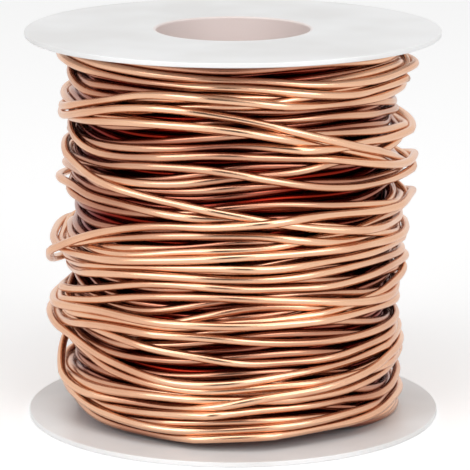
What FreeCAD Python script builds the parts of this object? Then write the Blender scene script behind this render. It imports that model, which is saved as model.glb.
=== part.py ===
import FreeCAD, Part
import os
import Sketcher

# Plastic spool wound with bare copper wire, standing on one flange.
# Millimetres, +Z up, origin at the centre of the lower flange's outer face.

SIZES = [
    ("flange_diameter", 65.0, "both flanges"),
    ("spool_height", 61.5, "from outer face to outer face"),
    ("flange_thickness", 0.8, "each flange"),
    ("rim_rounding", 0.2, "radius on both edges of each flange's rim"),
    ("bore_diameter", 24.0, "hole right through, for an axle or a peg"),
    ("barrel_wall", 1.5, "tube that the wire is wound on"),
    ("mouth_rounding", 0.3, "radius where the bore opens through a flange"),
    ("root_rounding", 0.5, "radius inside the corner between barrel and flange"),
    ("wire_diameter", 1.29, "bare wire, 16 AWG"),
    ("winding_top_diameter", 51.6, "over the wire, under the upper flange"),
    ("winding_middle_diameter", 54.0, "over the wire, halfway up"),
    ("winding_bottom_diameter", 54.4, "over the wire, on the lower flange"),
    ("winding_clearance", 0.05, "between the winding and the plastic all round"),
]

START = 1  # a line's or an arc's first point
END = 2  # and its last point
ORIGIN = (-1, 1)  # the sketch's own origin
SAME = 1e-4  # two sizes closer than this are one size

doc = FreeCAD.newDocument("copper_wire_spool")

sheet = doc.addObject("Spreadsheet::Sheet", "Sizes")
for row, (alias, millimetres, note) in enumerate(SIZES, start=1):
    sheet.set("A%d" % row, alias)
    sheet.set("B%d" % row, "%g" % millimetres)
    sheet.setAlias("B%d" % row, alias)
    sheet.set("C%d" % row, note)
doc.recompute()


def size(alias):
    return float(sheet.get(alias))


def new_body(label):
    body = doc.addObject("PartDesign::Body", label)
    body.Label = label
    return body


def half_section(body):
    """A sketch on the body's XZ plane: across is the radius, up is the height."""
    sketch = body.newObject("Sketcher::SketchObject", body.Label + "_half_section")
    plane = next(item for item in body.Origin.OriginFeatures if item.Role == "XZ_Plane")
    sketch.AttachmentSupport = [(plane, "")]
    sketch.MapMode = "FlatFace"
    return sketch


def join(sketch, first, second):
    sketch.addConstraint(Sketcher.Constraint("Coincident", first, END, second, START))


def bind(sketch, direction, point, name, expression):
    """Holds a point's distance from the sketch's origin at what the expression gives."""
    vector = sketch.getPoint(*point)
    distance = vector.x if direction == "DistanceX" else vector.y
    constraint = Sketcher.Constraint(direction, *ORIGIN, *point, distance)
    sketch.renameConstraint(sketch.addConstraint(constraint), name)
    sketch.setExpression("Constraints." + name, expression)


def turn(body, sketch):
    """The half section turned once about the upright axis."""
    solid = body.newObject("PartDesign::Revolution", body.Label + "_turned")
    solid.Profile = sketch
    solid.ReferenceAxis = (sketch, ["V_Axis"])
    solid.Angle = 360
    doc.recompute()
    return solid


def ring_edges(solid, rings):
    """Names of the solid's round edges that have one of the given (radius, height) pairs."""
    names = []
    for number, edge in enumerate(solid.Shape.Edges, start=1):
        if not isinstance(edge.Curve, Part.Circle):
            continue
        for radius, height in rings:
            same_radius = abs(edge.Curve.Radius - radius) < SAME
            same_height = abs(edge.Curve.Center.z - height) < SAME
            if same_radius and same_height:
                names.append("Edge%d" % number)
    return names


def round_off(body, base, name, rings, expression):
    fillet = body.newObject("PartDesign::Fillet", name)
    fillet.Base = (base, ring_edges(base, rings))
    fillet.setExpression("Radius", expression)
    doc.recompute()
    return fillet


def make_spool():
    """Two flanges on a tube, moulded in one piece."""
    body = new_body("spool")
    bore = size("bore_diameter") / 2
    barrel = bore + size("barrel_wall")
    rim = size("flange_diameter") / 2
    low = size("flange_thickness")
    top = size("spool_height")
    high = top - low

    sketch = half_section(body)
    corners = [(bore, 0), (rim, 0), (rim, low), (barrel, low),
               (barrel, high), (rim, high), (rim, top), (bore, top)]
    points = [FreeCAD.Vector(radius, height, 0) for radius, height in corners]
    for start, end in zip(points, points[1:] + points[:1]):
        sketch.addGeometry(Part.LineSegment(start, end), False)
    for line in range(len(points)):
        join(sketch, line, (line + 1) % len(points))
        direction = "Horizontal" if line % 2 == 0 else "Vertical"
        sketch.addConstraint(Sketcher.Constraint(direction, line))
    sketch.addConstraint(Sketcher.Constraint("PointOnObject", 0, START, -1))
    bind(sketch, "DistanceX", (0, START), "bore_radius", "Sizes.bore_diameter / 2")
    bind(sketch, "DistanceX", (0, END), "lower_rim_radius", "Sizes.flange_diameter / 2")
    bind(sketch, "DistanceX", (5, END), "upper_rim_radius", "Sizes.flange_diameter / 2")
    bind(sketch, "DistanceX", (3, END), "barrel_radius", "Sizes.bore_diameter / 2 + Sizes.barrel_wall")
    bind(sketch, "DistanceY", (1, END), "lower_flange", "Sizes.flange_thickness")
    bind(sketch, "DistanceY", (4, START), "upper_flange", "Sizes.spool_height - Sizes.flange_thickness")
    bind(sketch, "DistanceY", (6, START), "height", "Sizes.spool_height")

    solid = turn(body, sketch)
    rims = [(rim, height) for height in (0, low, high, top)]
    solid = round_off(body, solid, "rims", rims, "Sizes.rim_rounding")
    mouths = [(bore, height) for height in (0, top)]
    solid = round_off(body, solid, "mouths", mouths, "Sizes.mouth_rounding")
    roots = [(barrel, height) for height in (low, high)]
    round_off(body, solid, "roots", roots, "Sizes.root_rounding")
    return body


def make_winding():
    """The wound wire as one turned solid that fills the barrel from flange to flange."""
    body = new_body("wire_winding")
    inner = size("bore_diameter") / 2 + size("barrel_wall") + size("winding_clearance")
    length = size("spool_height") - 2 * (size("flange_thickness") + size("winding_clearance"))
    bottom_outer = size("winding_bottom_diameter") / 2
    middle_outer = size("winding_middle_diameter") / 2
    top_outer = size("winding_top_diameter") / 2

    sketch = half_section(body)
    inner_bottom = FreeCAD.Vector(inner, 0, 0)
    outer_bottom = FreeCAD.Vector(bottom_outer, 0, 0)
    outer_middle = FreeCAD.Vector(middle_outer, length / 2, 0)
    outer_top = FreeCAD.Vector(top_outer, length, 0)
    inner_top = FreeCAD.Vector(inner, length, 0)
    lower_end = sketch.addGeometry(Part.LineSegment(inner_bottom, outer_bottom), False)
    outside = sketch.addGeometry(Part.Arc(outer_bottom, outer_middle, outer_top), False)
    upper_end = sketch.addGeometry(Part.LineSegment(outer_top, inner_top), False)
    inside = sketch.addGeometry(Part.LineSegment(inner_top, inner_bottom), False)
    middle = sketch.addGeometry(Part.Point(outer_middle), True)
    for first, second in ((lower_end, outside), (outside, upper_end), (upper_end, inside), (inside, lower_end)):
        join(sketch, first, second)
    sketch.addConstraint(Sketcher.Constraint("Horizontal", lower_end))
    sketch.addConstraint(Sketcher.Constraint("Horizontal", upper_end))
    sketch.addConstraint(Sketcher.Constraint("Vertical", inside))
    sketch.addConstraint(Sketcher.Constraint("PointOnObject", lower_end, START, -1))
    sketch.addConstraint(Sketcher.Constraint("PointOnObject", middle, START, outside))
    inner_radius = "Sizes.bore_diameter / 2 + Sizes.barrel_wall + Sizes.winding_clearance"
    full_length = "Sizes.spool_height - 2 * (Sizes.flange_thickness + Sizes.winding_clearance)"
    bind(sketch, "DistanceX", (lower_end, START), "inner_radius", inner_radius)
    bind(sketch, "DistanceX", (lower_end, END), "bottom_radius", "Sizes.winding_bottom_diameter / 2")
    bind(sketch, "DistanceX", (middle, START), "middle_radius", "Sizes.winding_middle_diameter / 2")
    bind(sketch, "DistanceX", (upper_end, START), "top_radius", "Sizes.winding_top_diameter / 2")
    bind(sketch, "DistanceY", (middle, START), "middle_height", "(%s) / 2" % full_length)
    bind(sketch, "DistanceY", (upper_end, END), "length", full_length)

    solid = turn(body, sketch)
    inner_corners = [(inner, 0), (inner, length)]
    solid = round_off(body, solid, "inner_corners", inner_corners, "Sizes.root_rounding")
    outer_corners = [(bottom_outer, 0), (top_outer, length)]
    round_off(body, solid, "outer_corners", outer_corners, "Sizes.wire_diameter / 2")
    body.setExpression("Placement.Base.z", "Sizes.flange_thickness + Sizes.winding_clearance")
    return body


def check(bodies):
    for item in doc.Objects:
        if "Invalid" in item.State or "Error" in item.State:
            raise RuntimeError("%s failed to build" % item.Label)
    for body in bodies:
        if body.Shape.isNull() or not body.Shape.isValid() or len(body.Shape.Solids) != 1:
            raise RuntimeError("%s is not one valid solid" % body.Label)


bodies = [make_spool(), make_winding()]
doc.recompute()
check(bodies)
os.makedirs("parts", exist_ok=True)
for body in bodies:
    body.Shape.exportStep("parts/%s.step" % body.Label)
    box = body.Shape.optimalBoundingBox()
    print("%s: %.2f x %.2f x %.2f mm, from z %.2f, %.1f mm3" %
          (body.Label, box.XLength, box.YLength, box.ZLength, box.ZMin, body.Shape.Volume))
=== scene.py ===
import bmesh
import bpy
import math
import numpy as np
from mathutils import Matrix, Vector


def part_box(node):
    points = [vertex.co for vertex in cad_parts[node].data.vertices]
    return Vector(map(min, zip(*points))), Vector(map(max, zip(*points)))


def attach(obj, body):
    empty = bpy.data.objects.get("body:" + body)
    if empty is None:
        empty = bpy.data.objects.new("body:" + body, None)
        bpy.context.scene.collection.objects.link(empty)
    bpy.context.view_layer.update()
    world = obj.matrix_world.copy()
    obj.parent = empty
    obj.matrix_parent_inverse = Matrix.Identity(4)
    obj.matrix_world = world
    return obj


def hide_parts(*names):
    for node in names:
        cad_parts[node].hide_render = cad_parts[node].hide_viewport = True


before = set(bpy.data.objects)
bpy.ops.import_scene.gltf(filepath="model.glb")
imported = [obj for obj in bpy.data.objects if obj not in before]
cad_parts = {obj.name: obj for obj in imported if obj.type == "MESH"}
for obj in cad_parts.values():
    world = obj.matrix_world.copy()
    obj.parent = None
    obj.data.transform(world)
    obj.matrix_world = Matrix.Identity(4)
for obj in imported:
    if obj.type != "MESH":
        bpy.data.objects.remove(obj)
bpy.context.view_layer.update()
millimetre = 0.001

spoolLow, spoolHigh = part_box("spool")
windingLow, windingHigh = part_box("wire_winding")
flangeDiameter = spoolHigh.x - spoolLow.x
spoolHeight = spoolHigh.z - spoolLow.z


def linearColour(hexCode):
    channels = [int(hexCode[i:i + 2], 16) / 255 for i in (1, 3, 5)]
    linear = [c / 12.92 if c <= 0.04045 else ((c + 0.055) / 1.055) ** 2.4 for c in channels]
    return (*linear, 1.0)


def newMaterial(name):
    material = bpy.data.materials.new(name)
    material.use_nodes = True
    material.node_tree.nodes.clear()
    return material


def addNode(material, kind, settings=None, links=None):
    # settings are node properties or socket values, links are socket name: (node, output name)
    node = material.node_tree.nodes.new(kind)
    for name, value in (settings or {}).items():
        if isinstance(name, int) or name in node.inputs.keys():
            node.inputs[name].default_value = value
        else:
            setattr(node, name, value)
    for name, (source, output) in (links or {}).items():
        material.node_tree.links.new(source.outputs[output], node.inputs[name])
    return node


def axisDistance(material, place):
    # how far a point is from the spool's axis
    flat = addNode(material, "ShaderNodeVectorMath", {"operation": "MULTIPLY", 1: (1, 1, 0)},
                   {0: (place, "Object")})
    return addNode(material, "ShaderNodeVectorMath", {"operation": "LENGTH"}, {0: (flat, "Vector")})


def glossRange(material, roughness, source):
    # roughness that drifts a little round its middle value
    return addNode(material, "ShaderNodeMapRange", {"To Min": roughness - 0.06, "To Max": roughness + 0.1},
                   {"Value": (source, "Fac")})


def smoothed(values, width):
    # gaussian smoothing along an array, ends held
    reach = int(3 * width) + 1
    kernel = np.exp(-0.5 * (np.arange(-reach, reach + 1) / width) ** 2)
    padded = np.concatenate([np.full(reach, values[0]), values, np.full(reach, values[-1])])
    return np.convolve(padded, kernel / kernel.sum(), mode="valid")


camera = {
    "distance": 7.57 * flangeDiameter,  # level distance from the spool's axis
    "height": 2.143 * flangeDiameter,   # above the floor
    "pitch": 12.69,                     # degrees down
    "yaw": 0.036,                       # degrees to the right
    "lens": 244.4,                      # mm on a 36 mm sensor
}


def makeCamera():
    data = bpy.data.cameras.new("camera")
    data.lens = camera["lens"]
    data.sensor_width = 36
    data.clip_end = 50
    viewer = bpy.data.objects.new("camera", data)
    viewer.location = (0, -camera["distance"], camera["height"])
    viewer.rotation_euler = (math.radians(90 - camera["pitch"]), 0, -math.radians(camera["yaw"]))
    bpy.context.scene.collection.objects.link(viewer)
    bpy.context.scene.camera = viewer


wire = {
    "radius": 0.645,        # mm, 1.29 mm bare wire, 16 AWG
    "steps": 112,           # points in a turn
    "sides": 10,            # round the wire
    "seed": 7,
    "bedDepth": 5.2,        # mm of real turns over the hidden ones
}

# The layers under the last turns: turns, mm between them, mm of wander.
bedLayers = [(42, 1.45, 0.4), (41, 1.45, 0.5), (39, 1.5, 0.6), (22, 2.6, 0.9)]

winding = {
    "low": windingLow.z / millimetre,
    "high": windingHigh.z / millimetre,
    "bottomRadius": 25.5,   # mm over the wire, at the lower flange
    "middleRadius": 25.6,
    "topRadius": 24.6,
    "barrelRadius": 13.55,  # mm, 0.05 clear of the barrel
    "cell": 0.1,            # mm, height step of the depth field
    "climbTurns": 5,        # from the end of the bed up to the last turns
    "reach": 14,            # points of the last turn that a new turn starts from
    "ahead": 24,            # points past the turn's end that it looks at
}


def outlineRadius(height):
    # the winding's mean outside, a curve through its three radii
    share = (height - winding["low"]) / (winding["high"] - winding["low"])
    low, middle, high = winding["bottomRadius"], winding["middleRadius"], winding["topRadius"]
    lowPart = low * (1 - share) * (1 - 2 * share)
    middlePart = 4 * middle * share * (1 - share)
    return lowPart + middlePart + high * share * (2 * share - 1)


class DepthField:
    # how far out the wire laid so far stands, at each angle and height

    def __init__(self):
        radius = wire["radius"]
        self.steps = wire["steps"]
        self.bottom = winding["low"] - radius
        count = int((winding["high"] + radius - self.bottom) / winding["cell"]) + 1
        self.heights = self.bottom + np.arange(count) * winding["cell"]
        start = outlineRadius(self.heights) - wire["bedDepth"]
        self.top = np.repeat(start[None, :], self.steps, axis=0)
        across = int(radius / winding["cell"] + 1e-6)
        self.offsets = np.arange(-across, across + 1)
        self.cap = np.sqrt(np.maximum(radius ** 2 - (self.offsets * winding["cell"]) ** 2, 0))

    def cells(self, places, heights):
        middle = np.rint((heights - self.bottom) / winding["cell"]).astype(int)
        rows = (places % self.steps)[:, None]
        columns = np.clip(middle[:, None] + self.offsets[None, :], 0, self.top.shape[1] - 1)
        return rows, columns

    def rest(self, places, heights):
        # lowest radius at which the wire's centre clears what lies under it
        rows, columns = self.cells(places, heights)
        return (self.top[rows, columns] + self.cap[None, :]).max(axis=1)

    def lay(self, places, heights, radii):
        rows, columns = self.cells(places, heights)
        rows = np.broadcast_to(rows, columns.shape)
        np.maximum.at(self.top, (rows, columns), radii[:, None] + self.cap[None, :])


def insideFlanges(heights):
    return np.clip(heights, winding["low"] + wire["radius"], winding["high"] - wire["radius"])


def layWire(field, targets, path, settle, taut, loose=None):
    # lays one length of wire over the field, turn by turn; targets are its wished heights, point by point
    steps = wire["steps"]
    line = 2 * math.cos(2 * math.pi / steps)
    total = len(targets)
    for start in range(0, total, steps):
        stop = min(start + steps, total)
        end = min(stop + winding["ahead"], total)
        held = min(winding["reach"], len(path["height"]))
        wanted = insideFlanges(targets[start:end])
        heights = np.concatenate([np.array(path["height"][len(path["height"]) - held:]), wanted])
        places = path["place"] + np.arange(-held, end - start)
        fixedHeights = heights[:held].copy()
        goal = heights.copy()
        for _ in range(settle):
            slope = field.rest(places, heights + 0.2) - field.rest(places, heights - 0.2)
            heights = heights - np.clip(slope * 0.35, -0.18, 0.18)
            heights = heights + 0.06 * (goal - heights)
            heights[:held] = fixedHeights
            heights = insideFlanges(smoothed(heights, 2.0))
            heights[:held] = fixedHeights
        least = field.rest(places, heights)
        fixedRadii = np.array(path["radius"][len(path["radius"]) - held:])
        radii = least.copy()
        radii[:held] = fixedRadii
        for _ in range(taut):
            middle = line / (1 / radii[:-2] + 1 / radii[2:])
            radii[1:-1] = np.maximum(least[1:-1], middle)
            radii[:held] = fixedRadii
        radii = np.maximum(smoothed(radii, 1.3), least - 0.08)
        radii[:held] = fixedRadii
        if loose is not None:
            lift = loose[start:end]
            radii[held:] = radii[held:] + lift
        keep = slice(held, held + stop - start)
        field.lay(places[keep], heights[keep], radii[keep])
        path["height"].extend(heights[keep])
        path["radius"].extend(radii[keep])
        path["place"] += stop - start


def wander(random, turns, strength, memory):
    # a slowly changing wave in height, point by point over many turns
    steps = wire["steps"]
    angle = np.arange(steps) * 2 * math.pi / steps
    waves = np.array([1, 2, 3, 4, 5])
    sizes = strength * np.array([1.0, 0.75, 0.5, 0.3, 0.18])
    state = random.normal(size=(2, 5))
    rows = []
    for _ in range(turns + 1):
        rows.append(state * sizes)
        state = memory * state + math.sqrt(1 - memory ** 2) * random.normal(size=(2, 5))
    heights = []
    for turn in range(turns):
        for step in range(steps):
            share = step / steps
            mix = rows[turn] * (1 - share) + rows[turn + 1] * share
            phase = waves * angle[step]
            heights.append((mix[0] * np.cos(phase) + mix[1] * np.sin(phase)).sum())
    return np.array(heights)


def traverse(random, turns, pitch, start, direction):
    # the feed moving up and down between the flanges, with hand-made unevenness
    steps = wire["steps"]
    low = winding["low"] + wire["radius"]
    high = winding["high"] - wire["radius"]
    height = start
    heights = []
    for _ in range(turns):
        stride = direction * pitch * random.uniform(0.55, 1.45) / steps
        for _ in range(steps):
            height += stride
            if height > high or height < low:
                direction = -direction
                stride = -stride
                height += 2 * stride
            heights.append(height)
    return np.array(heights), height, direction


def sealEnds(mesh):
    # joins the flat caps to the tube
    shape = bmesh.new()
    shape.from_mesh(mesh)
    rim = [vertex for vertex in shape.verts if any(edge.is_boundary for edge in vertex.link_edges)]
    bmesh.ops.remove_doubles(shape, verts=rim, dist=0.001 * millimetre)
    bmesh.ops.recalc_face_normals(shape, faces=shape.faces)
    print("open edges", sum(1 for edge in shape.edges if not edge.is_manifold))
    shape.to_mesh(mesh)
    shape.free()


def unrollInMetres(mesh, length):
    # the curve gives 0 to 1 round the wire and along it; both become metres
    layer = mesh.uv_layers[0]
    values = np.empty(len(layer.data) * 2)
    layer.data.foreach_get("uv", values)
    values = values.reshape(-1, 2) * (2 * math.pi * wire["radius"] * millimetre, length)
    layer.data.foreach_set("uv", values.ravel())


def makeTube(name, path, first, last, material):
    # a round tube along the wire's path, in metres, as a mesh
    curve = bpy.data.curves.new(name, "CURVE")
    curve.dimensions = "3D"
    curve.twist_mode = "Z_UP"
    curve.bevel_depth = wire["radius"] * millimetre
    curve.bevel_resolution = wire["sides"] // 2 - 2
    curve.use_fill_caps = True
    spline = curve.splines.new("POLY")
    count = last - first
    places = np.arange(first, last)
    angle = math.pi / 2 + places * 2 * math.pi / wire["steps"]
    radii = np.array(path["radius"][first:last])
    points = np.ones((count, 4))
    points[:, 0] = radii * np.cos(angle) * millimetre
    points[:, 1] = radii * np.sin(angle) * millimetre
    points[:, 2] = np.array(path["height"][first:last]) * millimetre
    spline.points.add(count - 1)
    spline.points.foreach_set("co", points.ravel())
    source = bpy.data.objects.new(name + "Path", curve)
    bpy.context.scene.collection.objects.link(source)
    mesh = bpy.data.meshes.new_from_object(source.evaluated_get(bpy.context.evaluated_depsgraph_get()))
    bpy.data.objects.remove(source)
    mesh.name = name
    unrollInMetres(mesh, np.linalg.norm(np.diff(points[:, :3], axis=0), axis=1).sum())
    sealEnds(mesh)
    mesh.shade_smooth()
    mesh.materials.clear()
    mesh.materials.append(material)
    piece = bpy.data.objects.new(name, mesh)
    bpy.context.scene.collection.objects.link(piece)
    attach(piece, "root")
    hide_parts("wire_winding")
    print(name, len(mesh.polygons) * 2, "triangles", [layer.name for layer in mesh.uv_layers])
    return piece


# The last turns, laid one after another. Each crosses the front from the left edge to the right one.
# Its heights, in mm above the base, are given at every 20 degrees, and its end joins the next round the back.
lastTurns = [
    [59, 59, 59.5, 59.5, 59, 59, 59.5, 59, 58.5, 58.5],
    [58.5, 58.5, 59, 58.5, 58, 57.5, 56, 56.5, 56.5, 56.5],
    [58, 58, 57.5, 57, 57, 56, 55, 54.5, 55, 55],
    [51, 51, 51, 51, 50.5, 49.5, 49, 48.5, 47.5, 46],
    [48.5, 49, 50.5, 51, 51, 50, 47.5, 45, 41.5, 40.5],
    [45.5, 46, 46, 47, 47.5, 47.5, 47, 46.5, 46, 46.5],
    [50, 50.5, 53, 55.5, 55.5, 54.5, 53, 53.5, 53.5, 53.5],
    [48.5, 49.5, 51.5, 53.5, 53.5, 51, 48.5, 45.5, 43, 39],
    [42, 42, 43, 44.5, 44.5, 43, 40.5, 40, 39.5, 39.5],
    [47, 46.5, 44, 46, 46.5, 46, 45.5, 44, 41.5, 41.5],
    [27.5, 28.5, 32, 33.5, 34.5, 34, 32.5, 32, 31.5, 31],
    [38, 38, 37.5, 37, 37, 36, 35.5, 32.5, 31, 29.5],
    [45, 42.5, 41, 39.5, 38, 36.5, 34.5, 33.5, 32, 32],
    [28.5, 28.5, 29, 30, 31, 31.5, 31.5, 31.5, 30.5, 30.5],
    [25.5, 26, 28, 29, 29.5, 29, 29, 30, 29.5, 29.5],
    [23.5, 25, 27, 28, 28, 27, 28, 28, 27, 26.5],
    [20.5, 21.5, 24, 26.5, 27, 25.5, 25.5, 25.5, 25.5, 25],
    [23.5, 29, 33, 35, 35.5, 36.5, 36.5, 36, 36, 36],
    [18.5, 20, 22, 24.5, 25, 24.5, 23, 22, 22, 22],
    [19, 19.5, 20.5, 20.5, 20.5, 20.5, 21, 21, 19.5, 19.5],
    [15, 14.5, 11, 10, 9.5, 10.5, 11, 11, 11, 11],
    [17.5, 17.5, 17.5, 16.5, 15, 14, 14, 14.5, 15, 15],
    [15.5, 16.5, 19, 19, 19, 17.5, 17, 16.5, 16.5, 16.5],
    [16.5, 16, 12.5, 11, 10.5, 11.5, 12.5, 13.5, 14, 14],
    [8, 8, 8, 9, 9, 9, 8.5, 8.5, 10, 10],
    [13, 7.5, 6.5, 6.5, 7.5, 9.5, 10.5, 11.5, 12.5, 13],
    [5.5, 5.5, 5.5, 5.5, 7, 7.5, 7.5, 6, 5.5, 7.5],
    [6, 6, 4.5, 3.5, 4, 4.5, 5, 4.5, 4.5, 4.5],
    [4, 4, 2.5, 2, 3, 3.5, 3.5, 3.5, 4, 4],
]

# Where a last turn stands off the winding as a slack loop: turn, degrees round, mm out, degrees wide.
slackLoops = [
    (17, -180, 1.2, 24), (25, -176, 0.9, 26), (12, -176, 0.8, 26), (7, -4, 0.3, 24),
    (26, -4, 0.3, 24), (15, -2, 0.6, 22), (11, -182, 0.9, 16),
]


def lastTurnHeights():
    # the wished height at every point of the last turns
    steps = wire["steps"]
    places = []
    heights = []
    for turn, front in enumerate(lastTurns):
        following = lastTurns[min(turn + 1, len(lastTurns) - 1)]
        for mark, height in enumerate(front):
            places.append((turn + 0.25 + 0.5 * mark / (len(front) - 1)) * steps)
            heights.append(height)
        places.append((turn + 1) * steps)
        heights.append((front[-1] + following[0]) / 2)
    return smoothed(np.interp(np.arange(len(lastTurns) * steps), places, heights), 2.6)


def lastTurnLift():
    steps = wire["steps"]
    lift = np.zeros(len(lastTurns) * steps)
    place = np.arange(len(lift))
    for turn, degrees, out, wide in slackLoops:
        middle = (turn + 0.5 + (degrees + 90) / 360) * steps
        width = wide / 360 * steps / 2
        lift += out * np.exp(-0.5 * ((place - middle) / width) ** 2)
    return lift


def orderOfPlace(place):
    # by height, then round the axis, then outwards, as the merge leaves no order of its own
    return place.z * 1e6 + round(math.atan2(place.y, place.x), 4) * 1e2 + place.xy.length * 1e2


def makeHiddenTurns(material):
    # the turns too deep to be seen, as one turned solid from the barrel out
    rows = 24
    low = windingLow.z / millimetre
    high = windingHigh.z / millimetre
    heights = np.linspace(low, high, rows)
    profile = [(winding["barrelRadius"], low)]
    profile += [(outlineRadius(height) - wire["bedDepth"] - 0.1, height) for height in heights]
    profile.append((winding["barrelRadius"], high))
    shape = bmesh.new()
    corners = [shape.verts.new((radius * millimetre, 0, height * millimetre)) for radius, height in profile]
    edges = [shape.edges.new((corners[i], corners[(i + 1) % len(corners)])) for i in range(len(corners))]
    bmesh.ops.spin(shape, geom=corners + edges, cent=(0, 0, 0), axis=(0, 0, 1), dvec=(0, 0, 0),
                   angle=2 * math.pi, steps=128, use_merge=True, use_duplicate=False)
    bmesh.ops.recalc_face_normals(shape, faces=shape.faces)
    shape.verts.sort(key=lambda vertex: orderOfPlace(vertex.co))
    shape.faces.sort(key=lambda face: orderOfPlace(face.calc_center_median()))
    mesh = bpy.data.meshes.new("hiddenTurns")
    shape.to_mesh(mesh)
    shape.free()
    mesh.materials.append(material)
    piece = bpy.data.objects.new("hiddenTurns", mesh)
    bpy.context.scene.collection.objects.link(piece)
    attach(piece, "root")
    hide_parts("wire_winding")
    print("hiddenTurns", len(mesh.polygons) * 2, "triangles")


def makeWinding(material):
    random = np.random.default_rng(wire["seed"])
    field = DepthField()
    path = {"height": [], "radius": [], "place": 0}
    marks = [0]
    height = winding["low"] + 1.5
    direction = 1
    for turns, pitch, strength in bedLayers:
        feed, height, direction = traverse(random, turns, pitch, height, direction)
        layWire(field, feed + wander(random, turns, strength, 0.9), path, 8, 60)
        marks.append(len(path["height"]))
    lastHeights = lastTurnHeights()
    turns = winding["climbTurns"]
    climb = np.linspace(height, lastHeights[0], turns * wire["steps"])
    layWire(field, climb + wander(random, turns, 0.6, 0.9), path, 8, 60)
    marks[-1] = len(path["height"])
    layWire(field, lastHeights, path, 2, 60, lastTurnLift())
    marks.append(len(path["height"]))
    names = ("innerTurns", "lowerTurns", "middleTurns", "upperTurns", "outerTurns")
    for name, first, last in zip(names, marks, marks[1:]):
        makeTube(name, path, first, min(last + 1, marks[-1]), material)
    print("wire laid,", round(sum(path["radius"]) * 2 * math.pi / wire["steps"] / 1000, 1), "m")
    print("outside radius, 50 and 99 per cent", np.percentile(field.top, 50), np.percentile(field.top, 99))


copper = {
    "bright": "#E6B797",    # freshly drawn
    "paintedGapShade": "#781C10", # painted shade, dark red for the wire seen in the gaps between the last turns
    "rubbed": "#CF9474",    # duller patches
    "paintedShadeFrom": 26.7,    # mm from the axis, no painted shade outside this
    "paintedShadeTo": 24.1,      # and full painted shade nearer the axis than this
    "patch": 14.0,          # mm of wire from one patch to the next
    "lines": 0.05,          # mm between the lines that the die leaves
    "lineLength": 6,        # mm
    "lineDepth": 0.003,     # mm
    "roughness": 0.22,
}


def makeCopper():
    # bare electrolytic copper drawn through a die: bright, with faint lines along the wire
    material = newMaterial("drawnBareCopper")
    place = addNode(material, "ShaderNodeTexCoord")
    radius = axisDistance(material, place)
    # painted shade: wire nearer the axis than the last turns is mixed towards dark red, which darkens and
    # reddens the gaps between the turns
    depth = addNode(material, "ShaderNodeMapRange", {
        "From Min": copper["paintedShadeTo"] * millimetre, "From Max": copper["paintedShadeFrom"] * millimetre},
        {"Value": (radius, "Value")})
    patches = addNode(material, "ShaderNodeTexNoise", {
        "Scale": 1 / (copper["patch"] * millimetre), "Detail": 3.0}, {"Vector": (place, "Object")})
    rubbing = addNode(material, "ShaderNodeMapRange", {
        "From Min": 0.48, "From Max": 0.72, "To Max": 0.6}, {"Value": (patches, "Fac")})
    worn = addNode(material, "ShaderNodeMix", {
        "data_type": "RGBA", 6: linearColour(copper["bright"]), 7: linearColour(copper["rubbed"])},
        {0: (rubbing, "Result")})
    tone = addNode(material, "ShaderNodeMix", {
        "data_type": "RGBA", 6: linearColour(copper["paintedGapShade"])}, {0: (depth, "Result"), 7: (worn, 2)})

    # lines from the die: fine round the wire, very long along it
    perMetre = (1 / (copper["lines"] * millimetre), 1 / (copper["lineLength"] * millimetre), 1)
    unrolled = addNode(material, "ShaderNodeVectorMath", {"operation": "MULTIPLY", 1: perMetre},
                       {0: (place, "UV")})
    drawn = addNode(material, "ShaderNodeTexNoise", {"Scale": 1.0, "Detail": 2.0},
                    {"Vector": (unrolled, "Vector")})
    bump = addNode(material, "ShaderNodeBump", {
        "Strength": 0.6, "Distance": copper["lineDepth"] * millimetre}, {"Height": (drawn, "Fac")})
    gloss = glossRange(material, copper["roughness"], patches)
    shader = addNode(material, "ShaderNodeBsdfPrincipled", {"Metallic": 1.0}, {
        "Base Color": (tone, 2), "Roughness": (gloss, "Result"), "Normal": (bump, "Normal")})
    addNode(material, "ShaderNodeOutputMaterial", links={"Surface": (shader, "BSDF")})
    return material


plastic = {
    "colour": "#F2F2F2",
    "clouded": "#E8E7E6",   # where the moulding cooled slower
    "inside": "#EBDDD9",    # painted light, the bore a little warmer, for copper light seen through the translucent barrel
    "cloud": 18.0,          # mm from one cloud to the next
    "grain": 0.25,          # mm, texture of the mould
    "grainDepth": 0.004,    # mm
    "roughness": 0.36,
    "milkiness": 0.12,
}


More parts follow.
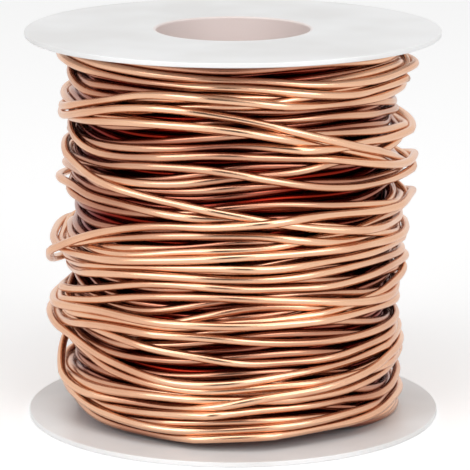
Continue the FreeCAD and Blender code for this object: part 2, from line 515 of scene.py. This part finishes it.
def makePlastic():
    # natural polypropylene, moulded: milky, with a soft gloss
    material = newMaterial("naturalMouldedPolypropylene")
    place = addNode(material, "ShaderNodeTexCoord")
    clouds = addNode(material, "ShaderNodeTexNoise", {
        "Scale": 1 / (plastic["cloud"] * millimetre), "Detail": 2.0}, {"Vector": (place, "Object")})
    milk = addNode(material, "ShaderNodeMapRange", {"From Min": 0.4, "From Max": 0.65},
                   {"Value": (clouds, "Fac")})
    outside = addNode(material, "ShaderNodeMix", {
        "data_type": "RGBA", 6: linearColour(plastic["colour"]), 7: linearColour(plastic["clouded"])},
        {0: (milk, "Result")})
    radius = axisDistance(material, place)
    # painted light: near the bore the colour turns warm, standing in for the copper's light coming through
    # the barrel wall
    bore = addNode(material, "ShaderNodeMapRange", {
        "From Min": 12.6 * millimetre, "From Max": 12.05 * millimetre}, {"Value": (radius, "Value")})
    colour = addNode(material, "ShaderNodeMix", {
        "data_type": "RGBA", 7: linearColour(plastic["inside"])}, {0: (bore, "Result"), 6: (outside, 2)})
    grain = addNode(material, "ShaderNodeTexNoise", {
        "Scale": 1 / (plastic["grain"] * millimetre), "Detail": 2.0}, {"Vector": (place, "Object")})
    bump = addNode(material, "ShaderNodeBump", {
        "Strength": 0.4, "Distance": plastic["grainDepth"] * millimetre}, {"Height": (grain, "Fac")})
    gloss = glossRange(material, plastic["roughness"], clouds)
    shader = addNode(material, "ShaderNodeBsdfPrincipled", {
        "IOR": 1.49, "Subsurface Weight": plastic["milkiness"], "Subsurface Radius": (1.0, 0.9, 0.85),
        "Subsurface Scale": 0.8 * millimetre},
        {"Base Color": (colour, 2), "Roughness": (gloss, "Result"), "Normal": (bump, "Normal")})
    addNode(material, "ShaderNodeOutputMaterial", links={"Surface": (shader, "BSDF")})
    return material


stage = {
    "skyLevel": 0.44,       # how strongly the white studio lights matt surfaces
    "floorLift": 0.3,       # brings the lit paper up to white, and leaves the shadow on it
    "floorSize": 1.8,       # metres
    "softboxes": {          # place and size in metres, watts
        "softboxLeft": ((-0.72, -0.86, 0.55), (0.75, 0.6), 4.5),
        "softboxRight": ((0.64, -0.92, 0.55), (0.75, 0.6), 4.5),
        "softboxAbove": ((0, -0.55, 1.1), (1.0, 0.6), 4.0),
    },
    "cardPlace": (-0.1, -1.1, 0.7),
    "cardSize": (0.5, 1.5),
    "cardColour": "#101010",
}


def litWhereSeen(material, socketLow, socketHigh):
    # a value that is high for rays that see or mirror the surface, and low for those that only light with it
    rays = addNode(material, "ShaderNodeLightPath")
    mirrored = addNode(material, "ShaderNodeMath", {"operation": "MAXIMUM"},
                       {0: (rays, "Is Camera Ray"), 1: (rays, "Is Glossy Ray")})
    either = addNode(material, "ShaderNodeMath", {"operation": "MAXIMUM"},
                     {0: (mirrored, 0), 1: (rays, "Is Transmission Ray")})
    return addNode(material, "ShaderNodeMapRange", {"To Min": socketLow, "To Max": socketHigh},
                   {"Value": (either, 0)})


def makeStage():
    bpy.ops.mesh.primitive_plane_add(size=stage["floorSize"], location=(0, 0, 0))
    floor = bpy.context.object
    floor.name = "floor"
    floor.location.z = spoolLow.z - 0.02 * millimetre
    material = newMaterial("whitePaper")
    level = litWhereSeen(material, 0.0, stage["floorLift"])
    shader = addNode(material, "ShaderNodeBsdfPrincipled", {
        "Base Color": linearColour("#F4F4F4"), "Roughness": 0.9, "Specular IOR Level": 0.1,
        "Emission Color": (1, 1, 1, 1)}, {"Emission Strength": (level, "Result")})
    addNode(material, "ShaderNodeOutputMaterial", links={"Surface": (shader, "BSDF")})
    floor.data.materials.append(material)


def makeWorld():
    # white wherever it is seen or mirrored, dimmer where it only lights matt surfaces
    world = bpy.data.worlds.new("studio")
    bpy.context.scene.world = world
    world.use_nodes = True
    tree = world.node_tree
    tree.nodes.clear()
    rays = tree.nodes.new("ShaderNodeLightPath")
    seen = None
    for output in ("Is Camera Ray", "Is Glossy Ray", "Is Transmission Ray"):
        if seen is None:
            seen = rays.outputs[output]
            continue
        either = tree.nodes.new("ShaderNodeMath")
        either.operation = "MAXIMUM"
        tree.links.new(seen, either.inputs[0])
        tree.links.new(rays.outputs[output], either.inputs[1])
        seen = either.outputs[0]
    level = tree.nodes.new("ShaderNodeMapRange")
    level.inputs["To Min"].default_value = stage["skyLevel"]
    level.inputs["To Max"].default_value = 1.0
    tree.links.new(seen, level.inputs["Value"])
    background = tree.nodes.new("ShaderNodeBackground")
    background.inputs["Color"].default_value = (1, 1, 1, 1)
    tree.links.new(level.outputs["Result"], background.inputs["Strength"])
    output = tree.nodes.new("ShaderNodeOutputWorld")
    tree.links.new(background.outputs["Background"], output.inputs["Surface"])


def addSoftbox(name, place, size, power):
    data = bpy.data.lights.new(name, "AREA")
    data.shape = "RECTANGLE"
    data.size, data.size_y = size
    data.energy = power
    lamp = bpy.data.objects.new(name, data)
    lamp.location = place
    aim = Vector((0, 0, spoolHeight / 2)) - lamp.location
    lamp.rotation_euler = aim.to_track_quat("-Z", "Y").to_euler()
    bpy.context.scene.collection.objects.link(lamp)


def addBlackCard():
    # stands behind the camera, between the softboxes, and gives the bright wire something dark to mirror
    bpy.ops.mesh.primitive_plane_add(size=1, location=(0, 0, 0))
    card = bpy.context.object
    card.name = "blackCard"
    card.scale = (*stage["cardSize"], 1)
    card.rotation_euler = (math.radians(90), 0, 0)
    card.location = stage["cardPlace"]
    bpy.ops.object.transform_apply(location=True, rotation=True, scale=True)
    material = newMaterial("blackPaper")
    shader = addNode(material, "ShaderNodeBsdfDiffuse", {"Color": linearColour(stage["cardColour"])})
    addNode(material, "ShaderNodeOutputMaterial", links={"Surface": (shader, "BSDF")})
    card.data.materials.append(material)
    card.visible_camera = False  # so that a view from behind sees past it


makeCamera()
makeStage()
makeWorld()
for name, (place, size, power) in stage["softboxes"].items():
    addSoftbox(name, place, size, power)
addBlackCard()
print("stage and lights done")

plastic = makePlastic()
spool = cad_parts["spool"]
spool.data.materials.clear()
spool.data.materials.append(plastic)
copperMaterial = makeCopper()
makeWinding(copperMaterial)
makeHiddenTurns(copperMaterial)

bpy.context.scene.view_settings.view_transform = "Standard"
